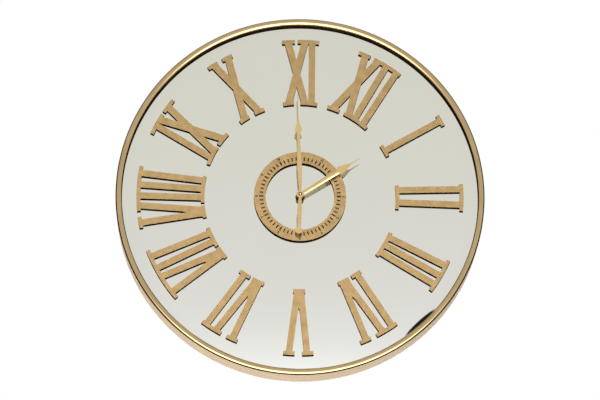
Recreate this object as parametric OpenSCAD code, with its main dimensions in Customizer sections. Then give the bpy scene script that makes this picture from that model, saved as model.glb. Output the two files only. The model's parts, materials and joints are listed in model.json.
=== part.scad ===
// Round wall mirror clock: gilt hoop, applied Roman numerals, spade hands, quartz movement.
// The dial is drawn with x to the right, y up and z out of the wall, then stood up facing -Y.

/* [Frame] */
// Diameter over the bead of the bezel
frame_d = 600; // [590:1:640]
// Width of the half-round bead
bead_w = 10.5; // [8:0.5:14]
// Height of the bezel wall between the mirror and the bead
bead_lift = 9; // [5:0.5:12]
// How far the hoop lies inside the bead
hoop_inset = 1.5; // [0.5:0.5:3]
// Thickness of the hoop
hoop_t = 2; // [1.5:0.5:3]
// Height of the dark groove between bead and hoop
groove_h = 4; // [2:0.5:5]
// Width of the hoop's rear rim
rim_w = 10; // [6:1:16]
// Thickness of the bezel's skirt inside the hoop
skirt_t = 3; // [2:0.5:5]
// Number of nails round the hoop
nail_count = 12; // [6:1:24]
// Diameter of a nail's shank
nail_d = 2; // [1.5:0.1:3]
// Diameter of a nail's head
nail_head_d = 4.4; // [3:0.2:6]
// Height of a nail's head
nail_head_h = 0.7; // [0.4:0.1:1.2]
// How deep a nail goes into the board
nail_grip = 8; // [5:1:15]

/* [Mirror and board] */
// Thickness of the mirror glass
mirror_t = 4; // [3:0.5:6]
// Thickness of the back board
board_t = 6; // [4:0.5:10]
// Depth of the rear recess, from the wall to the board
recess_depth = 31; // [28:1:45]

/* [Numerals] */
// Gap between the bezel and the numerals' outer ends
numeral_gap = 23.5; // [17.5:0.5:39.5]
// Height of a numeral along its radius
numeral_len = 110.5; // [101:0.5:126]
// Width of one unit of the numerals' drawings
numeral_unit_w = 1; // [0.85:0.01:1.02]
// Thickness of a numeral
numeral_t = 5.5; // [2:0.5:8]
// Width of a straight stroke
stroke_w = 10.4; // [8:0.2:11]
// Width of a crossed stroke, measured along the serif
cross_w = 11.8; // [9:0.2:12.5]
// Height of a serif
serif_h = 6.2; // [4:0.2:9]

/* [Chapter ring] */
// Outer radius of the ring
ring_r_out = 75; // [72:0.5:85]
// Inner radius of the ring
ring_r_in = 56; // [45:0.5:57]
// Thickness of the ring
ring_t = 7; // [3:0.5:9]
// Thickness of the printed marks
mark_t = 0.25; // [0.15:0.05:0.5]
// Radius of the inner ends of the minute marks
tick_r_in = 60.2; // [59:0.1:62]
// Length of a minute mark
tick_len = 5.8; // [4:0.1:6]
// Width of a minute mark
tick_w = 1.9; // [0.8:0.1:2]
// Extra length of an hour mark at each end
hour_tick_extra = 0.6; // [0.5:0.1:1.5]
// Width of an hour mark
hour_tick_w = 2.2; // [1.5:0.1:3]
// Height of an hour figure
figure_h = 4.6; // [3:0.1:5]
// Stroke of an hour figure
figure_stroke = 0.7; // [0.5:0.05:0.9]
// Radius of the foot of an hour figure
figure_r = 68.6; // [68:0.1:69]

/* [Hands] */
// Length of the hour hand
hour_len = 115; // [105:1:130]
// Length of the minute hand
minute_len = 169; // [150:1:200]
// Distance from the arbor to the middle of the tail's disc
tail_len = 61; // [55:1:80]
// Diameter of the tail's disc
tail_disc_d = 11.6; // [9:0.2:16]
// Angle by which the tail is bent off the hand's line
tail_bend = 4; // [0:0.1:6]
// Thickness of the hands' plate
hand_t = 1; // [0.8:0.1:1.6]
// Width of the hour hand's shaft at its outer end
hour_shaft_w = 8.6; // [6:0.2:11]
// Width of the hour hand's spade
hour_spade_w = 15; // [11:0.2:18]
// Width of the minute hand's shaft at its widest
minute_shaft_w = 8; // [5:0.2:10]
// Width of the minute hand's spade
minute_spade_w = 12.4; // [8:0.2:16]
// Gap between the bush and the hour hand's collet
collet_gap = 1.9; // [0.5:0.1:5]
// Gap between the hour hand's crown and the minute hand
hand_gap = 1.6; // [1.5:0.1:4]
// Hour that the hands show
shown_hour = 12; // [1:1:12]
// Minute that the hands show
shown_minute = 54.7; // [0:0.1:59.9]
// Diameter of the nut that holds the hands
hand_nut_d = 6; // [5:0.2:9]
// Height of the nut that holds the hands
hand_nut_h = 1.6; // [1.2:0.1:3]

/* [Movement] */
// Room for the spring between the battery and its contact plate
spring_room = 2.3; // [2.3:0.1:12.3]
// Distance from the arbor to the top of the case
case_up = 19; // [19:0.5:24]
// Distance from the arbor to the bottom of the case
case_down = 37; // [37:0.5:44]
// Depth of the movement case
case_t = 16; // [16:0.5:20]
// Wall of the movement case
case_wall = 1.2; // [1:0.1:1.2]
// Radius of the case's corners
case_corner = 3; // [1:0.5:4]
// Diameter of the threaded bush
bush_d = 8; // [8:0.5:10]
// Length of the bush in front of the case
bush_len = 24; // [20:0.5:28]
// Pitch of the bush's thread
bush_pitch = 1; // [0.75:0.25:1.5]
// Diameter of the hour tube
hour_tube_d = 5; // [4.6:0.1:5.4]
// Diameter of the minute arbor
minute_arbor_d = 3.3; // [2.8:0.1:3.6]
// Diameter of the minute arbor's threaded end
arbor_tip_d = 2.8; // [2:0.1:2.8]
// Thickness of the rubber washer
rubber_t = 1; // [0.5:0.1:2]
// Diameter of the rubber washer
rubber_d = 24; // [16:1:30]
// Thickness of the brass washer
washer_t = 0.8; // [0.5:0.1:1.5]
// Diameter of the brass washer
washer_d = 15; // [14:0.5:20]
// Width across the flats of the fixing nut
nut_flats = 12; // [11:0.5:14]
// Height of the fixing nut
nut_h = 2.5; // [2:0.1:4]
// Diameter of the setting knob
knob_d = 12; // [9:0.5:14]
// Height of the setting knob
knob_h = 4.4; // [3:0.2:7]
// Diameter of the battery
battery_d = 14.5; // [13.5:0.1:14.5]
// Length of the battery without its nub
battery_len = 49.3; // [47:0.1:49.3]

/* [Hanger] */
// Distance from the board's top edge down to the keyhole's entry
hanger_drop = 65.1; // [53.1:1:143.1]
// Width of the keyhole plate
plate_w = 92; // [80:1:120]
// Height of the keyhole plate
plate_h = 34; // [32:1:44]
// Thickness of the keyhole plate
plate_t = 1.5; // [1:0.1:3]
// Gap between the keyhole plate and the wall
plate_gap = 3; // [2.5:0.1:6]
// Diameter of the keyhole's entry
key_d = 9; // [8:0.5:11]
// Width of the keyhole's slot
key_slot_w = 5; // [4:0.2:5.5]
// Length of the keyhole's slot above its entry
key_slot_len = 11; // [9:0.5:12]
// Diameter of the hanger screws
screw_d = 3.5; // [3:0.1:4.5]
// Diameter of a hanger screw's head
screw_head_d = 7; // [6:0.2:9]
// Height of a hanger screw's head
screw_head_h = 2; // [1.5:0.1:2.4]
// Width of the cross slot in a hanger screw's head
screw_slot_w = 0.8; // [0.6:0.1:1]
// Length of a hanger screw's shank
screw_len = 16; // [12:1:20]

/* [Hidden] */
$fn = 96;
// Faces of the small pivots and bores inside the movement
pivot_fn = 12;
// Overlap of a cutter past the face that it cuts
cut = 1;

// Clearances
slip = 0.2;
wheel_room = 0.9;
running = 0.05;
glass_play = 0.8;
nail_play = 0.05;

// Distances from the wall
z_board = recess_depth;
z_mirror = z_board + board_t;
z_face = z_mirror + mirror_t;
z_bead = z_face + bead_lift;
z_nail = z_board + board_t / 2;
rim_t = hoop_t;

// Radii of the frame
frame_r = frame_d / 2;
bead_r = bead_w / 2;
lip_r = frame_r - bead_w;
hoop_r = frame_r - hoop_inset;
hoop_in = hoop_r - hoop_t;
hoop_top = z_bead - groove_h;
skirt_out = hoop_in - slip;
skirt_in = skirt_out - skirt_t;
mirror_r = skirt_in - glass_play;
board_r = skirt_in - slip;

// Crowned hands: depth of the crown's axis, ledge beside the crown, and its foot inside the plate
crown_sink = 4;
crown_ledge = 0.2;
crown_foot = 0.1;
hour_hub_r = 5.6;
hour_neck_w = 5.6;
hour_shaft_end = 73;
hour_spade_r = 76;
hour_foot_len = 1.8;
hour_needle_r = 98.5;
minute_hub_r = 5.7;
minute_neck_w = 4.4;
minute_wide_r = 45;
minute_shaft_end = 88;
minute_waist_w = 4.6;
minute_spade_r = 107.5;
minute_foot_len = 5;
minute_needle_r = 124.5;
tail_wide_r = 30;
tail_waist_r = 52;
needle_w = 2;
needle_tip_w = 0.9;
shoulder_soft = 0.8;
shoulder_foot = 0.85;
collet_h = 2.6;
collet_wall = 1;
nut_drum = 0.4;
nut_lip = 0.5;

// Stations of the crowned shafts: distance from the arbor, then width
hour_stations = [[hour_hub_r, hour_neck_w], [hour_shaft_end, hour_shaft_w]];
minute_stations = [
    [minute_hub_r, minute_neck_w],
    [minute_wide_r, minute_shaft_w],
    [minute_shaft_end, minute_waist_w]
];
tail_stations = [
    [minute_hub_r, minute_neck_w],
    [tail_wide_r, minute_shaft_w],
    [tail_waist_r, minute_waist_w]
];

// Angles of the hands, clockwise from twelve o'clock
hour_angle = 30 * (shown_hour % 12) + shown_minute / 2;
minute_angle = 6 * shown_minute;

// Movement case
z_case_front = z_board - rubber_t;
z_case_back = z_case_front - case_t;
z_lid = z_case_back + case_wall;
z_ceiling = z_case_front - case_wall;
bay_split = 18.3;
bush_r = bush_d / 2;
bush_flange_w = 2;
bush_flange_r = bush_r + bush_flange_w;
bush_flange_t = 0.9;
z_bush_end = z_case_front + bush_len;

// Heights of the hands
hour_crown_h = crown_r(hour_shaft_w) - crown_sink;
z_hour = z_bush_end + collet_gap + collet_h;
z_minute = z_hour + hand_t + hour_crown_h + hand_gap;
z_hand_nut = z_minute + hand_t;
z_front = z_hand_nut + hand_nut_h + arbor_tip_d / 2;
y_middle = z_front / 2;

// Numerals: radii of their ends, heights along the radius, and how a V is drawn
numeral_r_out = lip_r - numeral_gap;
numeral_r_in = numeral_r_out - numeral_len;
foot_v = numeral_r_in + serif_h;
cap_v = numeral_r_out - serif_h;
crotch_rise = 35;
crotch_v = numeral_r_in + crotch_rise;
stroke_past = 14;
vee_lean = 3.2;

// Two-digit figures: shifts of the digits as shares of their height
tens_shift = 0.36;
units_shift = 0.24;

// Bush, tube and arbor at the hub
thread_depth = 0.35;
hour_tube_r = hour_tube_d / 2;
minute_arbor_r = minute_arbor_d / 2;
arbor_tip_r = arbor_tip_d / 2;

// Teeth of the train and of the motion work
rotor_teeth = 10;
fifth_teeth = 60;
fifth_pinion_teeth = 10;
seconds_teeth = 50;
seconds_pinion_teeth = 8;
third_teeth = 60;
third_pinion_teeth = 8;
centre_teeth = 64;
cannon_teeth = 10;
minute_teeth = 30;
minute_pinion_teeth = 8;
hour_teeth = 32;
knob_teeth = 10;
rotor_module = 0.3;
fifth_module = 0.36;
third_module = 0.4;
motion_module = 0.5;
third_sum = seconds_pinion_teeth + third_teeth;
centre_sum = third_pinion_teeth + centre_teeth;
centre_module = third_module * third_sum / centre_sum;

// Tooth shapes: height over and under the pitch line in modules, then widths as shares of the pitch
pinion_shape = [0.75, 1.25, 0.40, 0.16, 0.40];
wheel_shape = [0.85, 1.15, 0.42, 0.18, 0.50];

// Directions from one arbor to the next, anticlockwise from x
third_dir = 10;
fifth_dir = 170;
rotor_dir = 235;
minute_dir = 60;
knob_dir = 150;
hub = [0, 0];
third_at = arbor_at(hub, third_dir, third_module, third_sum);
fifth_at = arbor_at(hub, fifth_dir, fifth_module, fifth_pinion_teeth + seconds_teeth);
rotor_at = arbor_at(fifth_at, rotor_dir, rotor_module, rotor_teeth + fifth_teeth);
minute_at = arbor_at(hub, minute_dir, motion_module, cannon_teeth + minute_teeth);
knob_at = arbor_at(minute_at, knob_dir, motion_module, knob_teeth + minute_teeth);

// Turn of the knob's pinion that drops its teeth between those of the minute wheel
knob_off = mesh_turn(minute_dir, minute_teeth) - knob_dir;
knob_turn = mesh_turn(knob_dir, knob_teeth) - knob_off * minute_teeth / knob_teeth;

// Heights of the wheels, from the lid up, each by its gap over the one below
wheel_t = 0.8;
pinion_t = 1.4;
pinion_over = (pinion_t - wheel_t) / 2;
seconds_gap = 1.8;
fifth_gap = 0.8;
third_gap = 0.9;
centre_gap = 1.3;
motion_gap = 1.1;
hour_gap = 1;
z_seconds = z_lid + seconds_gap;
z_fifth = z_seconds + wheel_t + fifth_gap;
z_third = z_fifth + wheel_t + third_gap;
z_centre = z_third + wheel_t + centre_gap;
z_motion = z_centre + wheel_t + motion_gap;
z_hour_wheel = z_motion + wheel_t + hour_gap;
hour_wheel_t = 1;
pivot_r = 0.6;
pivot_bore_r = pivot_r + running;
boss_r = 1.6;
boss_h = 1;
pivot_depth = 0.5;
fifth_stud_r = 0.8;
minute_stud_r = 1;
knob_arbor_r = 1.2;
stud_play = 0.1;
knob_cap_t = 1.2;
knob_grip = knob_h - knob_cap_t;

// Motor
magnet_r = 2.8;
magnet_t = 2.2;
stator_t = 1;
stator_drop = 0.1;
z_stator = z_third - stator_drop;
z_magnet = z_stator + (stator_t - magnet_t) / 2;
stator_pad_r = 5;
stator_bore_r = 3.2;
core_y = -14.8;
core_w = 2.4;
core_left = -19;
core_right = 4.4;
coil_r = 2.6;
coil_left = -12.4;
coil_right = 0.6;
leg_w = 2;
leg_y = -10.6;
stator_post_r = 1.1;
stator_posts = [[core_left + core_w / 2, core_y], [core_right - core_w / 2, core_y]];
circuit_size = [20, 8, 1];
circuit_at = [5.6, -17.8];
circuit_gap = 1.3;
z_circuit = z_motion + circuit_gap;
chip_r = 2.6;
circuit_post_r = 1;
circuit_post_in = 1.5;
circuit_posts = [for (x = [circuit_post_in, circuit_size[0] - circuit_post_in])
    circuit_at + [x, circuit_post_in]];

// Battery bay, and the case as wide inside as the bay and the train need
battery_r = battery_d / 2;
nub_r = 2.75;
nub_len = 1.2;
contact_t = 0.4;
contact_w = 9;
bay_w = nub_len + battery_len + spring_room + 2 * contact_t;
train_w = 2 * (third_at[0] + third_module * (third_teeth / 2 + wheel_shape[0]) + wheel_room);
case_w = max(bay_w, train_w) + 2 * case_wall;
bay_top = -bay_split - case_wall;
bay_bottom = case_wall - case_down;
battery_y = (bay_top + bay_bottom) / 2;
z_battery = z_ceiling - battery_r - slip;
battery_end = case_w / 2 - case_wall - contact_t;

// Keyhole hanger
hanger_y = board_r - hanger_drop;
z_plate = plate_gap;
z_block = z_plate + plate_t;
plate_y = hanger_y + key_slot_len / 2;
screw_in_x = 8;
screw_in_y = 7;
screw_dx = plate_w / 2 - screw_in_x;
screw_dy = plate_h / 2 - screw_in_y;
pocket_depth = 14;
pocket_margin = 4;
pocket_w = key_d + 2 * pocket_margin;
pocket_low = hanger_y - key_d / 2 - pocket_margin;
pocket_high = hanger_y + key_slot_len + key_slot_w / 2 + pocket_margin;

// Radius of a polygon's inner circle, as a share of the radius of its corners
polygon_share = cos(180 / pivot_fn);

// Radius of the round bar whose crown leaves a ledge on a plate of width w
function crown_r(w) = sqrt(pow(w / 2 - crown_ledge, 2) + pow(crown_sink, 2));
function polar(r, clock_angle) = [r * sin(clock_angle), r * cos(clock_angle)];
function arbor_at(from, dir, m, teeth) = from + m * teeth / 2 * [cos(dir), sin(dir)];
function gear_corner(n, m, shape, turn, side) =
    let (pitch = 360 / n, r = m * n / 2)
    [for (c = side < 0 ? [[r - shape[1] * m, shape[4]], [r, shape[2]], [r + shape[0] * m, shape[3]]]
                       : [[r + shape[0] * m, shape[3]], [r, shape[2]], [r - shape[1] * m, shape[4]]])
        c[0] * [cos(turn + side * c[1] * pitch / 2), sin(turn + side * c[1] * pitch / 2)]];
function gear_points(n, m, shape) =
    [for (i = [0:n - 1], side = [-1, 1], p = gear_corner(n, m, shape, i * 360 / n, side)) p];
function mesh_turn(dir, teeth) = dir + 180 + 180 / teeth;

// Stands the dial up: front to -Y, twelve o'clock to +Z
module upright() {
    rotate([90, 0, 0])
        translate([0, 0, -y_middle])
            children();
}

module at(z) {
    translate([0, 0, z])
        children();
}

module place(point, z) {
    translate([point[0], point[1], z])
        children();
}

module annulus(r_in, r_out) {
    difference() {
        circle(r_out);
        circle(r_in);
    }
}

module tube(r_in, r_out, h) {
    linear_extrude(h)
        annulus(r_in, r_out);
}

module rounded_box(w, y0, y1, r, h) {
    linear_extrude(h) {
        translate([-w / 2 + r, y0])
            square([w - 2 * r, y1 - y0]);
        translate([-w / 2, y0 + r])
            square([w, y1 - y0 - 2 * r]);
        for (x = [-w / 2 + r, w / 2 - r], y = [y0 + r, y1 - r])
            translate([x, y])
                circle(r);
    }
}

// Gear with its first tooth along x
module gear(n, m, shape, h) {
    linear_extrude(h)
        polygon(gear_points(n, m, shape));
}

// Thin steel arbor, or a magnet on one
module pivot_post(r, h) {
    cylinder(r = r, h = h, $fn = pivot_fn);
}

// Frame

module nail_holes(r) {
    for (i = [0:nail_count - 1])
        rotate(-i * 360 / nail_count)
            translate([0, board_r - nail_grip - cut, z_nail])
                rotate([-90, 0, 0])
                    cylinder(r = r, h = frame_r - board_r + nail_grip + 2 * cut);
}

module hoop() {
    color("tan")
        upright()
            difference() {
                tube(hoop_in, hoop_r, hoop_top);
                nail_holes(nail_d / 2 + nail_play);
            }
}

// Flat ring fixed inside the hoop's rear edge
module rear_rim() {
    color("burlywood")
        upright()
            tube(hoop_r - rim_w, hoop_in, rim_t);
}

module bezel() {
    color("darkgoldenrod")
        upright()
            difference() {
                rotate_extrude() {
                    intersection() {
                        translate([frame_r - bead_r, z_bead])
                            circle(bead_r);
                        translate([lip_r, z_bead])
                            square([bead_w, bead_w]);
                    }
                    translate([lip_r, z_face])
                        square([skirt_out - lip_r, bead_lift]);
                    translate([skirt_in, z_board])
                        square([skirt_t, board_t + mirror_t]);
                }
                nail_holes(nail_d / 2 + nail_play);
            }
}

module mirror_glass() {
    color("lightgray")
        upright()
            at(z_mirror)
                tube(bush_r + glass_play, mirror_r, mirror_t);
}

module back_board() {
    color("peru")
        upright()
            difference() {
                at(z_board)
                    tube(bush_r + slip, board_r, board_t);
                nail_holes(nail_d / 2 + nail_play);
            }
}

module hoop_nails() {
    color("goldenrod")
        upright()
            for (i = [0:nail_count - 1])
                rotate(-i * 360 / nail_count)
                    translate([0, board_r - nail_grip, z_nail])
                        rotate([-90, 0, 0]) {
                            cylinder(r = nail_d / 2, h = hoop_r - board_r + nail_grip + slip);
                            at(hoop_r - board_r + nail_grip)
                                cylinder(r1 = nail_head_d / 2, r2 = nail_d / 2, h = nail_head_h);
                        }
}

// Numerals: u runs clockwise across a numeral, in units, and v outwards along its radius

module numeral(hour) {
    color("darkgoldenrod")
        upright()
            rotate(-30 * hour)
                at(z_face)
                    linear_extrude(numeral_t)
                        intersection() {
                            annulus(numeral_r_in, numeral_r_out);
                            union()
                                children();
                        }
}

// Stroke whose middle line passes u_foot at the inner serif and u_cap at the outer one
module stroke(u_foot, u_cap, w = stroke_w) {
    slope = (u_cap - u_foot) * numeral_unit_w / (cap_v - foot_v);
    u_low = u_foot * numeral_unit_w - slope * stroke_past;
    u_high = u_cap * numeral_unit_w + slope * stroke_past;
    polygon([
        [u_low - w / 2, foot_v - stroke_past],
        [u_low + w / 2, foot_v - stroke_past],
        [u_high + w / 2, cap_v + stroke_past],
        [u_high - w / 2, cap_v + stroke_past]
    ]);
}

// Two strokes that meet in a solid point at the foot
module vee(u_point, u_left, u_right) {
    half = vee_lean + stroke_w / 2;
    lean_u = vee_lean / numeral_unit_w;
    stroke(u_point - lean_u, u_left);
    stroke(u_point + lean_u, u_right);
    translate([u_point * numeral_unit_w, 0])
        polygon([
            [-half, foot_v - stroke_past],
            [half, foot_v - stroke_past],
            [half, foot_v],
            [0, crotch_v],
            [-half, foot_v]
        ]);
}

// Two strokes that cross half way up
module cross(foot_left, foot_right, cap_left, cap_right) {
    stroke(foot_left, cap_right, cross_w);
    stroke(foot_right, cap_left, cross_w);
}

module serif(r0, r1, u0, u1) {
    reach = 2 * numeral_r_out;
    intersection() {
        annulus(r0, r1);
        polygon([
            [0, 0],
            reach * [u0 * numeral_unit_w / r1, 1],
            reach * [u1 * numeral_unit_w / r1, 1]
        ]);
    }
}

module foot(u0, u1) {
    serif(numeral_r_in, foot_v, u0, u1);
}

module cap(u0, u1) {
    serif(cap_v, numeral_r_out, u0, u1);
}

module numeral_01() {
    numeral(1) {
        stroke(0.8, 1);
        foot(-10.5, 11);
        cap(-9, 11);
    }
}

module numeral_02() {
    numeral(2) {
        stroke(-12.5, -15);
        stroke(8.3, 11.2);
        foot(-21, 20);
        cap(-24, 22);
    }
}

module numeral_03() {
    numeral(3) {
        stroke(-14.3, -19.3);
        stroke(0, -0.5);
        stroke(14.3, 16.5);
        foot(-23, 23);
        cap(-30, 29.5);
    }
}

module numeral_04() {
    numeral(4) {
        stroke(-16, -22);
        vee(9, -4, 25.5);
        foot(-23.5, -5.5);
        foot(-0.5, 19.5);
        cap(-31, 8);
        cap(18.5, 37.5);
    }
}

module numeral_05() {
    numeral(5) {
        vee(1, -12.2, 17.2);
        foot(-9, 11);
        cap(-23, -4);
        cap(8, 27);
    }
}

module numeral_06() {
    numeral(6) {
        vee(-12.4, -24.8, 4.5);
        stroke(12.3, 23);
        foot(-24, -3);
        foot(1.5, 22);
        cap(-35, -15.5);
        cap(-5, 31.5);
    }
}

module numeral_07() {
    numeral(7) {
        vee(-19.6, -36.5, -6);
        stroke(4.5, 10.2);
        stroke(19.5, 31.5);
        foot(-31, -9);
        foot(-6, 29);
        cap(-50, 44);
    }
}

module numeral_08() {
    numeral(8) {
        vee(-26.5, -46.3, -17);
        stroke(-2.5, -0.3);
        stroke(12, 18.5);
        stroke(26.5, 37.8);
        foot(-38, -16.5);
        foot(-11.5, 34.5);
        cap(-57, -37);
        cap(-27, 51);
    }
}

module numeral_09() {
    numeral(9) {
        stroke(-16.5, -15);
        cross(-4, 20.3, -2.8, 21.5);
        foot(-30, 4);
        foot(8.5, 33);
        cap(-31, 6.5);
        cap(11, 37);
    }
}

module numeral_10() {
    numeral(10) {
        cross(-12.3, 13, -11.3, 14);
        foot(-23, -5);
        foot(5.5, 23.5);
        cap(-23, -4.5);
        cap(4, 22.5);
    }
}

module numeral_11() {
    numeral(11) {
        cross(-18.3, 6.5, -20, 6.5);
        stroke(18.5, 18.8);
        foot(-29, -10.5);
        foot(0, 28.5);
        cap(-31, -9.5);
        cap(-5, 31);
    }
}

module numeral_12() {
    numeral(12) {
        cross(-27.8, -1.8, -28.2, -6);
        stroke(10.5, 10.2);
        stroke(26.5, 30);
        foot(-40, -18);
        foot(-9.5, 37);
        cap(-41, -20);
        cap(-13, 38);
    }
}

// Chapter ring

module chapter_ring() {
    color("darkgoldenrod")
        upright()
            at(z_face)
                tube(ring_r_in, ring_r_out, ring_t);
}

module tick(r0, r1, w) {
    translate([-w / 2, r0])
        square([w, r1 - r0]);
}

module minute_mark(extra, w) {
    tick(tick_r_in - extra, tick_r_in + tick_len + extra, w);
}

// Bar between two points of a figure
module bar(a, b) {
    d = b - a;
    n = figure_stroke / 2 * [-d[1], d[0]] / norm(d);
    polygon([a - n, b - n, b + n, a + n]);
}

// Round bow of a figure, open to one side if a side is given
module bow(centre, r, open_side = 0) {
    translate(centre)
        difference() {
            annulus(r - figure_stroke, r);
            if (open_side != 0)
                translate([open_side > 0 ? 0 : -2 * r, -r * 0.5])
                    square([2 * r, r]);
        }
}

// Plain figure, standing on its foot, half as wide as it is high
module figure(d) {
    h = figure_h;
    w = h / 2;
    s = figure_stroke / 2;
    r = h / 4 + s / 2;
    if (d == 0) {
        bow([0, w / 2 + s], r);
        bow([0, h - w / 2 - s], r);
    }
    if (d == 1)
        bar([0, 0], [0, h]);
    if (d == 2) {
        bow([0, h - r], r, -1);
        bar([r - s, h - r], [-r + s, s]);
        bar([-r, s], [r, s]);
    }
    if (d == 3) {
        bow([0, h - r], r, -1);
        bow([0, r], r, -1);
    }
    if (d == 4) {
        bar([r / 2, 0], [r / 2, h]);
        bar([r / 2, h - s], [-r, h / 3]);
        bar([-r, h / 3], [r, h / 3]);
    }
    if (d == 5) {
        bow([0, r], r, -1);
        bar([-r + s, r], [-r + s, h]);
        bar([-r + s, h - s], [r, h - s]);
    }
    if (d == 6) {
        bow([0, r], r);
        bar([-r + s, r], [s, h]);
    }
    if (d == 7) {
        bar([-r, h - s], [r, h - s]);
        bar([r - s, h - s], [-s, 0]);
    }
    if (d == 8) {
        bow([0, r], r);
        bow([0, h - r], r);
    }
    if (d == 9) {
        bow([0, h - r], r);
        bar([r - s, h - r], [-s, 0]);
    }
}

module hour_figure(hour) {
    if (hour < 10)
        figure(hour);
    if (hour >= 10) {
        translate([-figure_h * tens_shift, 0])
            figure(1);
        translate([figure_h * units_shift, 0])
            figure(hour - 10);
    }
}

module chapter_marks() {
    color("black")
        upright()
            at(z_face + ring_t)
                linear_extrude(mark_t) {
                    for (i = [0:59])
                        rotate(-6 * i)
                            if (i % 5 == 0)
                                minute_mark(hour_tick_extra, hour_tick_w);
                            else
                                minute_mark(0, tick_w);
                    for (hour = [1:12])
                        rotate(-30 * hour)
                            translate([0, figure_r])
                                hour_figure(hour);
                }
}

// Hands: a flat plate with a crowned shaft on it

// Crowned shaft along y, from a list of stations and widths
module crown(stations) {
    last = len(stations) - 1;
    reach = stations[last][0];
    intersection() {
        at(-crown_sink)
            rotate([-90, 0, 0])
                rotate_extrude()
                    polygon(concat(
                        [[0, stations[0][0]]],
                        [for (s = stations) [crown_r(s[1]), s[0]]],
                        [[0, reach]]
                    ));
        translate([-reach, 0, -crown_foot])
            cube([2 * reach, reach, crown_sink]);
    }
}

module shaft_outline(stations) {
    polygon(concat(
        [for (s = stations) [s[1] / 2, s[0]]],
        [for (i = [len(stations) - 1:-1:0]) [-stations[i][1] / 2, stations[i][0]]]
    ));
}

// Spade: shoulders that open from a foot to the widest station and draw straight in to a long needle
module spade_outline(w, r_wide, foot_w, foot_len, r_needle, r_tip) {
    shaft_outline([
        [r_wide - foot_len, foot_w],
        [r_wide - shoulder_soft, w - shoulder_soft],
        [r_wide, w],
        [r_needle, needle_w],
        [r_tip, needle_tip_w]
    ]);
}

module hour_hand() {
    color("goldenrod")
        upright()
            rotate(-hour_angle)
                at(z_hour)
                    difference() {
                        union() {
                            linear_extrude(hand_t) {
                                circle(hour_hub_r + hand_t);
                                shaft_outline(hour_stations);
                                tick(hour_shaft_end - cut, hour_spade_r, hour_shaft_w);
                                spade_outline(
                                    hour_spade_w, hour_spade_r, hour_spade_w * shoulder_foot, hour_foot_len,
                                    hour_needle_r, hour_len
                                );
                            }
                            at(hand_t)
                                crown(hour_stations);
                            at(-collet_h)
                                cylinder(r = hour_tube_r + collet_wall, h = collet_h);
                        }
                        at(-collet_h - cut)
                            cylinder(r = hour_tube_r, h = collet_h + crown_sink + hand_t);
                    }
}

module minute_hand() {
    color("goldenrod")
        upright()
            rotate(-minute_angle)
                at(z_minute)
                    difference() {
                        union() {
                            linear_extrude(hand_t) {
                                circle(minute_hub_r + hand_t / 2);
                                shaft_outline(minute_stations);
                                translate([0, minute_shaft_end - cut])
                                    tick(0, minute_spade_r - minute_shaft_end + cut, minute_waist_w);
                                spade_outline(
                                    minute_spade_w, minute_spade_r, minute_waist_w, minute_foot_len,
                                    minute_needle_r, minute_len
                                );
                                rotate(180 - tail_bend) {
                                    shaft_outline(tail_stations);
                                    tick(tail_waist_r - cut, tail_len, minute_waist_w);
                                    translate([0, tail_len])
                                        circle(tail_disc_d / 2);
                                }
                            }
                            at(hand_t) {
                                crown(minute_stations);
                                rotate(180 - tail_bend)
                                    crown(tail_stations);
                            }
                        }
                        at(-cut)
                            cylinder(r = arbor_tip_r, h = hand_t + crown_sink);
                    }
}

// Nut: a low drum under a cone, bored for the arbor's end
module hand_nut() {
    nut_r = hand_nut_d / 2;
    drum_h = hand_nut_h * nut_drum;
    color("gold")
        upright()
            at(z_hand_nut)
                difference() {
                    union() {
                        cylinder(r = nut_r, h = drum_h);
                        at(drum_h)
                            cylinder(r1 = nut_r, r2 = arbor_tip_r + nut_lip, h = hand_nut_h - drum_h);
                    }
                    at(-cut)
                        cylinder(r = arbor_tip_r, h = hand_nut_h + 2 * cut);
                }
}

// Movement case

// Hollow of the case between two heights on the dial
module case_hollow(y0, y1) {
    translate([case_wall - case_w / 2, y0, z_lid - cut])
        cube([case_w - 2 * case_wall, y1 - y0, z_ceiling - z_lid + cut]);
}

module case_front() {
    color("dimgray")
        upright()
            difference() {
                union() {
                    difference() {
                        at(z_lid)
                            rounded_box(case_w, -case_down, case_up, case_corner, z_case_front - z_lid);
                        case_hollow(-bay_split, case_up - case_wall);
                        case_hollow(bay_bottom, bay_top);
                    }
                    for (p = circuit_posts)
                        place(p, z_circuit + circuit_size[2])
                            cylinder(r = circuit_post_r, h = z_case_front - z_circuit - circuit_size[2]);
                    for (p = [third_at, rotor_at])
                        place(p, z_ceiling - boss_h)
                            cylinder(r = boss_r, h = boss_h + cut / 2);
                    place(knob_at, z_ceiling - boss_h)
                        cylinder(r = knob_arbor_r + boss_h, h = boss_h + cut / 2);
                    place(minute_at, z_motion - pinion_over)
                        cylinder(r = minute_stud_r, h = z_case_front - z_motion);
                }
                for (p = [third_at, rotor_at])
                    place(p, z_ceiling - boss_h - cut)
                        cylinder(r = pivot_bore_r, h = boss_h + cut + pivot_depth);
                place(knob_at, z_ceiling - boss_h - cut)
                    cylinder(r = knob_arbor_r + running, h = boss_h + cut + pivot_depth);
                at(z_ceiling - cut)
                    cylinder(r = bush_r + slip, h = case_wall + 2 * cut);
            }
}

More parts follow.
